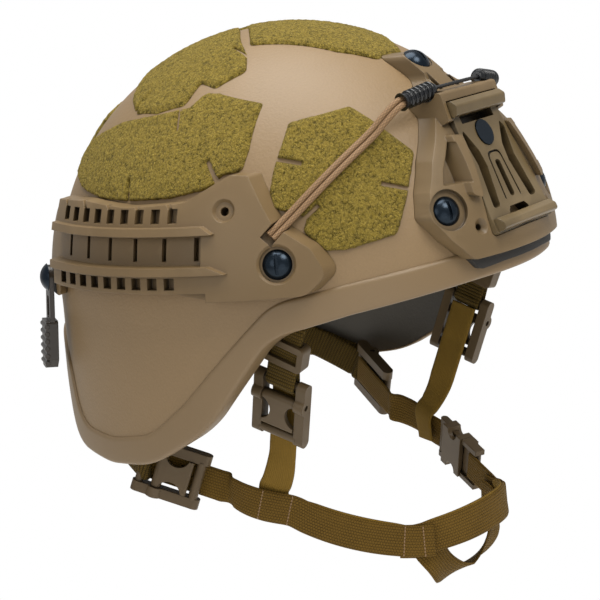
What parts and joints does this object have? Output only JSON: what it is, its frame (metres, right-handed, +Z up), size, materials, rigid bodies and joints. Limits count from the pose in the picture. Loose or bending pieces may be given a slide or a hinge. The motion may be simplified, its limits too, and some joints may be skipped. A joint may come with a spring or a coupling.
{
  "type": "combat helmet",
  "caption": "High-cut combat helmet with side rails, front shroud, loop patches, bungee lanyard, comfort pads and a buckled chin harness.",
  "frame": {"origin": "centre of the head opening at brow height, where the head carries the helmet", "axes": "+Z up to the crown, -Y towards the wearer's front, -X towards the wearer's right"},
  "size_m": [0.2618, 0.2893, 0.3021],
  "materials": {
    "shell": "fine matte paint",
    "trim": "matte rubber",
    "loop": "loop pile",
    "rail": "matte moulded",
    "screw": "gloss black oxide",
    "shroud": "matte moulded",
    "insert": "matte paint on metal",
    "disc": "plain round emblem",
    "black_rubber": "matte rubber",
    "hook": "gloss ribbed",
    "cord": "braided cord",
    "bungee": "braided elastic",
    "clip": "satin",
    "foam": "brushed pad cover",
    "hook_disc": "hook tape",
    "nut": "dark oxide",
    "inner_web": "ribbed webbing",
    "web": "woven webbing",
    "buckle": "satin moulded",
    "lever": "satin moulded"
  },
  "bodies": {
    "helmet": {"ballistic_shell": "shell", "edge_trim": "trim", "loop_patch_crown": "loop", "loop_patch_upper_right": "loop", "loop_patch_upper_left": "loop", "loop_patch_side_right": "loop", "loop_patch_side_left": "loop", "loop_patch_front_right": "loop", "loop_patch_front_left": "loop", "loop_patch_rear": "loop", "rail_right": "rail", "rail_left": "rail", "front_screw_right": "screw", "front_screw_left": "screw", "rear_screws": "screw", "shroud_plate": "shroud", "shroud_insert": "insert", "shroud_disc": "disc", "shroud_pad": "black_rubber", "shroud_screw_top": "screw", "shroud_screws_low": "screw", "lanyard_hook_right": "hook", "lanyard_hook_left": "hook", "lanyard_cord": "cord", "bungee_right": "bungee", "bungee_left": "bungee", "crown_pad": "foam", "front_pad": "foam", "rear_pad": "foam", "side_pad_front_right": "foam", "side_pad_front_left": "foam", "side_pad_rear_right": "foam", "side_pad_rear_left": "foam", "hook_discs": "hook_disc", "screw_nuts": "nut", "front_hanger_right": "inner_web", "front_hanger_left": "inner_web", "web_slider_right": "buckle", "web_slider_left": "buckle", "front_buckle_right": "buckle", "front_buckle_left": "buckle", "front_strap_right": "web", "front_strap_left": "web", "rear_hanger_right": "inner_web", "rear_hanger_left": "inner_web", "rear_buckle_right": "buckle", "rear_buckle_left": "buckle", "jaw_strap_right": "web", "jaw_strap_left": "web", "chin_band_upper": "web", "chin_band_lower": "web", "release_socket": "buckle"},
    "front_lever_right": {"front_lever_right": "lever"},
    "front_lever_left": {"front_lever_left": "lever"},
    "rear_lever_right": {"rear_lever_right": "lever"},
    "rear_lever_left": {"rear_lever_left": "lever"},
    "rear_clip_right": {"rear_clip_right": "clip"},
    "rear_clip_left": {"rear_clip_left": "clip"},
    "release_plug": {"release_plug": "lever", "release_tail": "web"}
  },
  "joints": [
    {"name": "front_lever_right_pivot", "type": "hinge", "parent": "helmet", "child": "front_lever_right", "pos_m": [-0.09059, -0.04601, -0.04376], "axis": [-0.0665, 0.942, 0.3291], "range_deg": [0, 60]},
    {"name": "front_lever_left_pivot", "type": "hinge", "parent": "helmet", "child": "front_lever_left", "pos_m": [0.09059, -0.04601, -0.04376], "axis": [-0.0665, -0.942, -0.3291], "range_deg": [0, 60]},
    {"name": "rear_lever_right_pivot", "type": "hinge", "parent": "helmet", "child": "rear_lever_right", "pos_m": [-0.09994, 0.03211, -0.08359], "axis": [-0.1921, 0.3534, -0.9155], "range_deg": [0, 60]},
    {"name": "rear_lever_left_pivot", "type": "hinge", "parent": "helmet", "child": "rear_lever_left", "pos_m": [0.09994, 0.03211, -0.08359], "axis": [-0.1921, -0.3534, 0.9155], "range_deg": [0, 60]},
    {"name": "rear_clip_right_pivot", "type": "hinge", "parent": "helmet", "child": "rear_clip_right", "pos_m": [-0.08943, 0.092, 0.017], "axis": [-0.7832, 0.6105, 0.1178], "range_deg": [-20, 20]},
    {"name": "rear_clip_left_pivot", "type": "hinge", "parent": "helmet", "child": "rear_clip_left", "pos_m": [0.08943, 0.092, 0.017], "axis": [-0.7832, -0.6105, -0.1178], "range_deg": [-20, 20]},
    {"name": "release_plug_slide", "type": "slide", "parent": "helmet", "child": "release_plug", "axis": [-0.4553, -0.8303, -0.3214], "range_m": [0, 0.02]}
  ]
}
